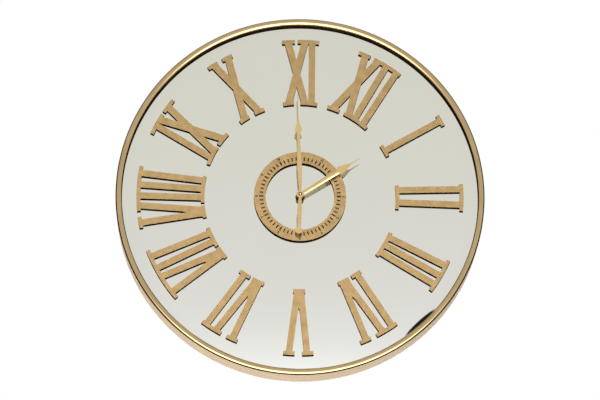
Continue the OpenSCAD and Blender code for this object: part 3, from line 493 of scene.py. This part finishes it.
def make_lights():
    """Key before the dial and above it, a broad lamp from below, and one over the top of the frame."""
    area_light("key", key_way, KEY_FAR, KEY_SIZE, KEY_WATTS)
    area_light("low_lamp", low_way, LOW_FAR, LOW_SIZE, LOW_WATTS)
    area_light("top_lamp", top_way, TOP_FAR, TOP_SIZE, TOP_WATTS)


def make_world():
    """White to the camera. Rubbed metal sees an even studio with a glow that rises towards its floor; the
    mirror sees a plain pale room."""
    world = bpy.data.worlds.new("studio")
    scene.world = world
    world.use_nodes = True
    tree = world.node_tree
    tree.nodes.clear()
    path = add(tree, "LightPath").outputs
    towards = add(tree, "TexCoord").outputs["Generated"]
    front = dot(tree, towards, dial_front)
    down = dot(tree, towards, -picture_up)
    swing = ramp(tree, front, *GLOSS_TURN, GLOSS_SWING_BEHIND, GLOSS_SWING)
    gloss = maths(tree, "MULTIPLY_ADD", down, swing, GLOSS_MIDDLE)
    gloss = maths(tree, "ADD", gloss, between(tree, front, 0, GLOSS_FRONT))
    below = maths(tree, "ARCTAN2", down, front)
    rise = ramp(tree, below, *GLOW_RISE, 0, GLOW_LEVEL)
    glow = maths(tree, "MULTIPLY", rise, ramp(tree, below, *GLOW_END, 1, 0))
    aside = maths(tree, "ABSOLUTE", dot(tree, towards, picture_right))
    gloss = maths(tree, "MULTIPLY_ADD", glow, ramp(tree, aside, *GLOW_REACH, 1, 0), gloss)
    ambient = ramp(tree, front, *AMBIENT_TURN, AMBIENT_BEHIND, AMBIENT_FRONT)
    mirrored = ramp(tree, dot(tree, towards, (0, 0, 1)), -1, 1, *MIRRORED)
    gloss = between(tree, path["Is Singular Ray"], gloss, mirrored)
    lit = between(tree, path["Is Glossy Ray"], ambient, gloss)
    seen = maths(tree, "MAXIMUM", path["Is Camera Ray"], path["Is Transmission Ray"])
    level = maths(tree, "MAXIMUM", lit, seen)
    back = add(tree, "Background", {"Color": (*WHITE, 1), "Strength": level})
    out = add(tree, "OutputWorld")
    tree.links.new(back.outputs[0], out.inputs["Surface"])


def flat_quad(name, middle, right, up):
    """Flat quad about a point, from its two half sides."""
    corners = [middle - right - up, middle + right - up, middle + right + up, middle - right + up]
    mesh = bpy.data.meshes.new(name)
    mesh.from_pydata([tuple(c) for c in corners], [], [(0, 1, 2, 3)])
    quad = bpy.data.objects.new(name, mesh)
    scene.collection.objects.link(quad)
    return quad


def make_flag():
    """Flag before the key: it hides more of the key from the top of the dial than from its foot."""
    edge = key_way.normalized() * FLAG_FAR + picture_up * FLAG_EDGE
    half_up = picture_up * FLAG_HALF
    flag = flat_quad("studio_flag", edge + half_up, picture_right * FLAG_HALF, half_up)
    flag.visible_camera = False
    flag.visible_diffuse = False
    flag.visible_glossy = False


def stage_material(name):
    """Empty node material for the studio."""
    material = bpy.data.materials.new(name)
    material.use_nodes = True
    material.node_tree.nodes.clear()
    return material, material.node_tree


def measured(tree, spot, origin, direction, unit):
    """Distance of a spot from an origin along a direction, in a unit."""
    off = maths(tree, "SUBTRACT", dot(tree, spot, direction), origin.dot(direction))
    return maths(tree, "DIVIDE", off, unit)


def make_card():
    """Studio card that the dial mirrors to the camera: bright at its foot, with one dark fold at the edge."""
    bounce = Vector((-to_camera.x, to_camera.y, -to_camera.z))
    middle = dial_middle + bounce * CARD_FAR
    card = flat_quad("studio_card", middle, picture_right * card_half, picture_up * card_half)
    card.visible_camera = False
    card.visible_diffuse = False
    card.visible_shadow = False
    material, tree = stage_material("studio_card")
    spot = add(tree, "TexCoord").outputs["Object"]
    base = middle.dot(picture_up)
    fall = ramp(tree, dot(tree, spot, picture_up), base + card_half, base - card_half)
    even = between(tree, fall, CARD_TOP, CARD_BOTTOM)
    level = maths(tree, "MULTIPLY_ADD", maths(tree, "POWER", fall, CARD_GLOW_CURVE), CARD_GLOW, even)
    fold = middle + (picture_right * FOLD_AT[0] + picture_up * FOLD_AT[1]) * card_spread
    outward = (fold - middle).normalized()
    along = measured(tree, spot, fold, dial_front.cross(outward), FOLD_LONG * card_spread)
    across = measured(tree, spot, fold, outward, FOLD_WIDE * card_spread)
    reach = maths(tree, "ADD", maths(tree, "POWER", along, 2), maths(tree, "POWER", across, 2))
    level = maths(tree, "MULTIPLY", level, ramp(tree, reach, *FOLD_EDGE, FOLD_LEVEL, 1))
    tint = mix(tree, maths(tree, "POWER", fall, CARD_TINT_CURVE), CARD_TINT, WHITE)
    glow = add(tree, "Emission", {"Color": tint, "Strength": level})
    out = add(tree, "OutputMaterial")
    tree.links.new(glow.outputs[0], out.inputs["Surface"])
    card.data.materials.append(material)


def make_floor():
    """Plain pale floor far below the clock."""
    middle = Vector((0, 0, FLOOR_Z))
    floor = flat_quad("floor", middle, Vector((FLOOR_HALF, 0, 0)), Vector((0, FLOOR_HALF, 0)))
    floor.visible_glossy = False
    material, tree = stage_material("pale_floor")
    seen = between(tree, add(tree, "LightPath").outputs["Is Camera Ray"], FLOOR_LIGHT, FLOOR_SEEN)
    shader = add(tree, "BsdfPrincipled", {"Base Color": (*FLOOR_COLOUR, 1), "Roughness": FLOOR_ROUGH,
                                          "Emission Color": (*WHITE, 1), "Emission Strength": seen})
    out = add(tree, "OutputMaterial")
    tree.links.new(shader.outputs[0], out.inputs["Surface"])
    floor.data.materials.append(material)


# Shared groups of the finishes

NOISE_RANGE = (0.3, 0.7)
FACING_EDGE = (0.5, 0.7)
BUMP_DEPTH = 0.3 * MM


def new_group(name, inputs, outputs):
    """Node group with named number inputs and outputs; gives its tree and its inner sockets."""
    tree = bpy.data.node_groups.new(name, "ShaderNodeTree")
    for label, value in inputs.items():
        socket = tree.interface.new_socket(label, in_out="INPUT", socket_type="NodeSocketFloat")
        socket.default_value = value
    for label in outputs:
        tree.interface.new_socket(label, in_out="OUTPUT", socket_type="NodeSocketFloat")
    enter = tree.nodes.new("NodeGroupInput")
    leave = tree.nodes.new("NodeGroupOutput")
    return tree, enter.outputs, leave.inputs


def make_patches():
    """Soft cloudy patches over the piece, from 0 to 1."""
    tree, enter, leave = new_group("patches", {"Scale": 10.0, "Detail": 3.0}, ["Value"])
    spot = add(tree, "TexCoord").outputs["Object"]
    noise = add(tree, "TexNoise", {"Vector": spot, "Scale": enter["Scale"], "Detail": enter["Detail"]})
    tree.links.new(ramp(tree, noise.outputs[0], *NOISE_RANGE), leave["Value"])
    return tree


def make_brushed():
    """Fine lines drawn out by different scales along the three axes, from 0 to 1."""
    tree, enter, leave = new_group("brushed", {"X": 10.0, "Y": 10.0, "Z": 10.0}, ["Value"])
    spot = add(tree, "TexCoord").outputs["Object"]
    scales = add(tree, "CombineXYZ", {"X": enter["X"], "Y": enter["Y"], "Z": enter["Z"]}).outputs[0]
    drawn = add(tree, "VectorMath", {0: spot, 1: scales}, operation="MULTIPLY").outputs[0]
    noise = add(tree, "TexNoise", {"Vector": drawn, "Scale": 1.0, "Detail": 4.0})
    tree.links.new(ramp(tree, noise.outputs[0], *NOISE_RANGE), leave["Value"])
    return tree


def make_turned_lines():
    """Radius from the dial's axis, height over the wall, and lines that run round the axis."""
    outputs = ["Radius", "Height", "Lines"]
    tree, enter, leave = new_group("turned_lines", {"Across": 600.0, "Round": 6.0}, outputs)
    spot = add(tree, "TexCoord").outputs["Object"]
    parts = add(tree, "SeparateXYZ", {0: spot}).outputs
    squares = [maths(tree, "POWER", parts[axis], 2) for axis in ("X", "Z")]
    radius = maths(tree, "SQRT", maths(tree, "ADD", *squares))
    height = maths(tree, "SUBTRACT", wall_y, parts["Y"])
    side_x = maths(tree, "DIVIDE", parts["X"], radius)
    side_z = maths(tree, "DIVIDE", parts["Z"], radius)
    round_x = maths(tree, "MULTIPLY", side_x, enter["Round"])
    round_z = maths(tree, "MULTIPLY", side_z, enter["Round"])
    section = maths(tree, "MULTIPLY", maths(tree, "ADD", radius, height), enter["Across"])
    lines = add(tree, "CombineXYZ", {"X": round_x, "Y": section, "Z": round_z}).outputs[0]
    noise = add(tree, "TexNoise", {"Vector": lines, "Scale": 1.0, "Detail": 3.0})
    tree.links.new(radius, leave["Radius"])
    tree.links.new(height, leave["Height"])
    tree.links.new(ramp(tree, noise.outputs[0], *NOISE_RANGE), leave["Lines"])
    return tree


def make_facing():
    """Masks of a flat piece: its cut sides, which stand square to the dial, and its back, to the wall."""
    tree, _, leave = new_group("facing", {}, ["Side", "Back"])
    normal = add(tree, "TexCoord").outputs["Normal"]
    to_wall = add(tree, "SeparateXYZ", {0: normal}).outputs["Y"]
    tree.links.new(ramp(tree, maths(tree, "ABSOLUTE", to_wall), *FACING_EDGE, 1, 0), leave["Side"])
    tree.links.new(ramp(tree, to_wall, *FACING_EDGE), leave["Back"])
    return tree


patches = make_patches()
brushed = make_brushed()
turned_lines = make_turned_lines()
facing = make_facing()


def use(tree, group, **inputs):
    """Node group placed in a material with its own values; gives its outputs."""
    return add(tree, "Group", inputs, node_tree=group).outputs


def start(name):
    """Node material; gives it with its tree and its shader."""
    material = bpy.data.materials.new(name)
    material.use_nodes = True
    tree = material.node_tree
    return material, tree, tree.nodes["Principled BSDF"]


def set_shader(tree, shader, colour, roughness, metallic=0.0, height=None, bump=0.0):
    """Links a material's changing values to its shader."""
    tree.links.new(colour, shader.inputs["Base Color"])
    tree.links.new(roughness, shader.inputs["Roughness"])
    if isinstance(metallic, bpy.types.NodeSocket):
        tree.links.new(metallic, shader.inputs["Metallic"])
    else:
        shader.inputs["Metallic"].default_value = metallic
    if height is not None:
        relief = add(tree, "Bump", {"Height": height, "Strength": bump, "Distance": BUMP_DEPTH})
        tree.links.new(relief.outputs[0], shader.inputs["Normal"])


# Finishes; each pair of colours goes from its dark tone to its light one

GOLD_PAINT = ((0.435, 0.288, 0.126), (0.600, 0.408, 0.190))
# Sides of the figures: the cut's burnt colour, darkened to near black as painted shade.
GOLD_BURNT_AND_SHADE = ((0.006, 0.003, 0.002), (0.020, 0.011, 0.006))
GOLD_ROUGH = (0.5, 0.62)
GOLD_BURNT_AND_SHADE_ROUGH = 0.3
GOLD_METAL = 0.04
GILT = ((0.52, 0.37, 0.175), (0.65, 0.48, 0.25))
# Painted shade of the bead's inner wall and groove: its colours, its roughness, and how high it reaches
# inside and outside.
GILT_SHADE = ((0.006, 0.004, 0.002), (0.022, 0.012, 0.006))
GILT_ROUGH = (0.17, 0.1)
GILT_SHADE_ROUGH = 0.35
GILT_TOP = (0.6 * BEAD_W, 0.4 * BEAD_W)
SHADE_INSIDE = (0.8 * MM, 3.3 * MM)
SHADE_OUTSIDE = (3.5 * MM, 4.1 * MM)
SHADE_EDGE = 0.3 * MM
BRASS_FRONT = ((0.76, 0.53, 0.235), (0.90, 0.66, 0.325))
BRASS_BACK = ((0.60, 0.53, 0.33), (0.76, 0.68, 0.45))
BRASS_ROUGH = (0.2, 0.14)
BRASS_BACK_ROUGH = 0.08
# Painted shade: the turned brass is made near black.
BUSH_PAINTED_SHADE = ((0.06, 0.034, 0.011), (0.15, 0.093, 0.034))
# Painted highlight at the arbor's end: its pale colours here, and the heights below the tip where it begins
# further down.
BUSH_HIGHLIGHT = ((0.86, 0.72, 0.46), (0.96, 0.86, 0.64))
BUSH_ROUGH = (0.14, 0.22)
BUSH_HIGHLIGHT_FROM = (1.1 * MM, 0.8 * MM)
SLEEVE_GREY = ((0.055, 0.060, 0.070), (0.105, 0.112, 0.128))
SLEEVE_STEEL = ((0.52, 0.52, 0.51), (0.70, 0.70, 0.69))
SLEEVE_ROUGH = (0.24, 0.36)
SLEEVE_BARE = (2.3 * MM, 2.1 * MM)
HOOP_TAN = ((0.67, 0.495, 0.31), (0.79, 0.605, 0.405))
HOOP_SCUFF = (0.36, 0.26, 0.17)
HOOP_SCUFF_H = 7 * MM
HOOP_SCUFF_SPECK = (0.84, 1.0)
HOOP_ROUGH = (0.42, 0.55)
HOOP_SPECULAR = 0.15
SILVER = ((0.835, 0.836, 0.806), (0.850, 0.851, 0.826))
SILVER_EDGE = (0.80, 0.80, 0.765)
SILVER_EDGE_FROM = 0.93
SILVER_EDGE_SHARE = 0.35
SILVER_ROUGH = (0.001, 0.003)


def finish(name, dark, light, broad, fine, rough, metallic=0.0, bump=0.05, specular=0.5):
    """Cloudy finish: broad patches and fine grain between two colours, with the grain in its gloss."""
    material, tree, shader = start(name)
    wide = use(tree, patches, Scale=broad)["Value"]
    small = use(tree, patches, Scale=fine)["Value"]
    colour = mix(tree, weighted(tree, wide, 0.65, small), dark, light)
    set_shader(tree, shader, colour, between(tree, small, *rough), metallic, small, bump)
    shader.inputs["Specular IOR Level"].default_value = specular
    return material


def lined(name, dark, light, scales, broad, rough, metallic=0.0, bump=0.05):
    """Drawn finish: fine lines along one axis between two colours, over broad patches."""
    material, tree, shader = start(name)
    wide = use(tree, patches, Scale=broad)["Value"]
    lines = use(tree, brushed, X=scales[0], Y=scales[1], Z=scales[2])["Value"]
    colour = mix(tree, weighted(tree, lines, 0.6, wide), dark, light)
    set_shader(tree, shader, colour, between(tree, lines, *rough), metallic, lines, bump)
    return material


def make_gold():
    """Matte gold paint on cut board: cloudy front with fine speckle, and sides burnt by the cut and painted
    near black as shade.
    """
    material, tree, shader = start("gold_leaf")
    wide = use(tree, patches, Scale=85)["Value"]
    small = use(tree, patches, Scale=900)["Value"]
    side = use(tree, facing)["Side"]
    paint = mix(tree, weighted(tree, wide, 0.7, small), *GOLD_PAINT)
    # Sides: burnt by the cut and painted near black as shade.
    burnt_and_shade = mix(tree, small, *GOLD_BURNT_AND_SHADE)
    rough = maths(tree, "MULTIPLY_ADD", side, GOLD_BURNT_AND_SHADE_ROUGH, between(tree, small, *GOLD_ROUGH))
    metal = between(tree, side, GOLD_METAL, 0)
    set_shader(tree, shader, mix(tree, side, paint, burnt_and_shade), rough, metal, small, 0.06)
    shader.inputs["Specular IOR Level"].default_value = 0
    return material


def make_gilt():
    """Gilt bead rubbed along its round, with painted shade low on its inner wall and in its groove, higher at
    two flanks.
    """
    material, tree, shader = start("gilt_bezel")
    ring = use(tree, turned_lines, Across=700, Round=9)
    wide = use(tree, patches, Scale=30)["Value"]
    blend = weighted(tree, ring["Lines"], 0.5, wide)
    gilt = mix(tree, blend, *GILT)
    # Painted shade: a near-black, dull, unmetallic band on the bead's inner wall and in the groove under it,
    # reaching higher at the left and right flanks.
    outside = ramp(tree, ring["Radius"], frame_r - GILT_TOP[0], frame_r - GILT_TOP[1])
    aside = dot(tree, add(tree, "TexCoord").outputs["Object"], picture_right)
    flank = maths(tree, "POWER", maths(tree, "DIVIDE", aside, ring["Radius"]), 2)
    inner_h = between(tree, flank, *SHADE_INSIDE)
    outer_h = between(tree, flank, *SHADE_OUTSIDE)
    shade_h = maths(tree, "ADD", between(tree, outside, inner_h, outer_h), bead_h)
    low = ramp(tree, maths(tree, "SUBTRACT", shade_h, ring["Height"]), -SHADE_EDGE, SHADE_EDGE)
    bead_shade = mix(tree, wide, *GILT_SHADE)
    rough = maths(tree, "MULTIPLY_ADD", low, GILT_SHADE_ROUGH, between(tree, blend, *GILT_ROUGH))
    set_shader(tree, shader, mix(tree, low, gilt, bead_shade), rough, between(tree, low, 1, 0))
    shader.inputs["Specular IOR Level"].default_value = 0
    return material


def make_hand_brass():
    """Polished brass: cloudy tone and fine wipe marks on its front, paler and greyer on its back."""
    material, tree, shader = start("hand_brass")
    wide = use(tree, patches, Scale=60)["Value"]
    small = use(tree, patches, Scale=1500)["Value"]
    back = use(tree, facing)["Back"]
    blend = weighted(tree, wide, 0.7, small)
    front = mix(tree, blend, *BRASS_FRONT)
    plain = mix(tree, wide, *BRASS_BACK)
    rough = maths(tree, "MULTIPLY_ADD", back, BRASS_BACK_ROUGH, between(tree, blend, *BRASS_ROUGH))
    set_shader(tree, shader, mix(tree, back, front, plain), rough, 1.0)
    return material


def make_bush_brass():
    """Turned brass painted near black as shade, with the end of the arbor painted pale as a highlight."""
    material, tree, shader = start("bush_brass")
    wide = use(tree, patches, Scale=200)["Value"]
    small = use(tree, patches, Scale=2500)["Value"]
    tip_h = wall_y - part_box("minute_arbor")[0].y
    height = use(tree, turned_lines)["Height"]
    # Painted highlight: the end of the arbor is made pale.
    highlight_at = ramp(tree, height, tip_h - BUSH_HIGHLIGHT_FROM[0], tip_h - BUSH_HIGHLIGHT_FROM[1])
    # Painted shade: the rest of the brass is made near black.
    brass_shade = mix(tree, wide, *BUSH_PAINTED_SHADE)
    highlight_tone = mix(tree, small, *BUSH_HIGHLIGHT)
    rough = between(tree, small, *BUSH_ROUGH)
    set_shader(tree, shader, mix(tree, highlight_at, brass_shade, highlight_tone), rough, 1.0, small, 0.02)
    return material


def make_sleeve():
    """Cell's plain sleeve: dark grey with faint lines along it, bare plated steel at both ends."""
    material, tree, shader = start("battery_sleeve")
    low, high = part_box("battery")
    along = add(tree, "SeparateXYZ", {0: add(tree, "TexCoord").outputs["Object"]}).outputs["X"]
    off = maths(tree, "ABSOLUTE", maths(tree, "SUBTRACT", along, (low.x + high.x) / 2))
    half = (high.x - low.x) / 2
    bare = ramp(tree, off, half - SLEEVE_BARE[0], half - SLEEVE_BARE[1])
    lines = use(tree, brushed, X=40, Y=700, Z=700)["Value"]
    sleeve = mix(tree, lines, *SLEEVE_GREY)
    steel = mix(tree, lines, *SLEEVE_STEEL)
    set_shader(tree, shader, mix(tree, bare, sleeve, steel), between(tree, lines, *SLEEVE_ROUGH), bare)
    return material


def make_hoop_paint():
    """Tan satin paint on sheet: faint lines round the band, cloudy tone, and scuffs near the wall."""
    material, tree, shader = start("hoop_paint")
    ring = use(tree, turned_lines, Across=900, Round=5)
    wide = use(tree, patches, Scale=14)["Value"]
    speck = use(tree, patches, Scale=420, Detail=1.0)["Value"]
    blend = weighted(tree, wide, 0.6, ring["Lines"])
    paint = mix(tree, blend, *HOOP_TAN)
    near = ramp(tree, ring["Height"], 0, HOOP_SCUFF_H, 1, 0)
    scuff = maths(tree, "MULTIPLY", near, ramp(tree, speck, *HOOP_SCUFF_SPECK))
    colour = mix(tree, scuff, paint, HOOP_SCUFF)
    set_shader(tree, shader, colour, between(tree, blend, *HOOP_ROUGH), 0.0, ring["Lines"], 0.04)
    shader.inputs["Specular IOR Level"].default_value = HOOP_SPECULAR
    return material


def make_mirror():
    """Silvered glass: a near-even pale silver, a touch warmer towards its edge, with a faint haze."""
    material, tree, shader = start("mirror")
    ring = use(tree, turned_lines)
    haze = use(tree, patches, Scale=6)["Value"]
    silver = mix(tree, haze, *SILVER)
    edge = ramp(tree, ring["Radius"], SILVER_EDGE_FROM * lip_r, lip_r)
    colour = mix(tree, maths(tree, "MULTIPLY", edge, SILVER_EDGE_SHARE), silver, SILVER_EDGE)
    set_shader(tree, shader, colour, between(tree, haze, *SILVER_ROUGH), 1.0)
    return material


def make_finishes():
    """One finish for each slot of the record."""
    return {
        "gold_leaf": make_gold(),
        "gilt_bezel": make_gilt(),
        "hoop_paint": make_hoop_paint(),
        "mirror": make_mirror(),
        "board": lined("board", dark=(0.20, 0.13, 0.075), light=(0.40, 0.285, 0.18),
                       scales=(90, 60, 420), broad=16, rough=(0.7, 0.9), bump=0.3),
        "nail_brass": finish("nail_brass", dark=(0.34, 0.24, 0.11), light=(0.66, 0.50, 0.28),
                             broad=300, fine=2500, rough=(0.3, 0.5), metallic=1.0),
        "print_black": finish("print_black", dark=(0.014, 0.008, 0.004), light=(0.034, 0.020, 0.010),
                              broad=120, fine=2600, rough=(0.6, 0.8), specular=0.1),
        "hand_brass": make_hand_brass(),
        "case_plastic": finish("case_plastic", dark=(0.020, 0.020, 0.021), light=(0.042, 0.042, 0.044),
                               broad=60, fine=1900, rough=(0.42, 0.6), bump=0.25),
        "bush_brass": make_bush_brass(),
        "rubber": finish("rubber", dark=(0.012, 0.012, 0.012), light=(0.030, 0.030, 0.030),
                         broad=150, fine=1500, rough=(0.7, 0.85), bump=0.2),
        "wheel_plastic": finish("wheel_plastic", dark=(0.70, 0.66, 0.56), light=(0.84, 0.81, 0.72),
                                broad=150, fine=2200, rough=(0.4, 0.5)),
        "magnet_steel": finish("magnet_steel", dark=(0.11, 0.11, 0.12), light=(0.24, 0.24, 0.25),
                               broad=300, fine=3000, rough=(0.4, 0.6), metallic=0.8),
        "plate_steel": lined("plate_steel", dark=(0.48, 0.48, 0.475), light=(0.70, 0.70, 0.685),
                             scales=(60, 900, 1400), broad=40, rough=(0.22, 0.38), metallic=1.0),
        "coil_copper": lined("coil_copper", dark=(0.42, 0.15, 0.06), light=(0.72, 0.31, 0.15),
                             scales=(5200, 40, 40), broad=90, rough=(0.3, 0.45), metallic=1.0, bump=0.3),
        "circuit_green": finish("circuit_green", dark=(0.02, 0.11, 0.045), light=(0.05, 0.22, 0.10),
                                broad=180, fine=1500, rough=(0.3, 0.5)),
        "battery_sleeve": make_sleeve(),
        "block_wood": lined("block_wood", dark=(0.42, 0.28, 0.15), light=(0.66, 0.49, 0.30),
                            scales=(18, 240, 420), broad=30, rough=(0.55, 0.75), bump=0.25),
    }


make_camera()
make_lights()
make_flag()
make_world()
make_card()
make_floor()
dressed = {
    "bezel": make_bezel(),
    "hoop": make_hoop(),
    "hoop_nails": make_nails(),
    "hand_nut": make_hand_nut(),
    "battery": make_cell(),
}
finishes = make_finishes()
for part in frame["record"]["subparts"]:
    target = dressed.get(part["node"], nodes[part["node"]])
    target.data.materials.clear()
    target.data.materials.append(finishes[part["material_slot"]])
make_case_marks().data.materials.append(finishes["case_plastic"])

scene.view_settings.view_transform = "Standard"
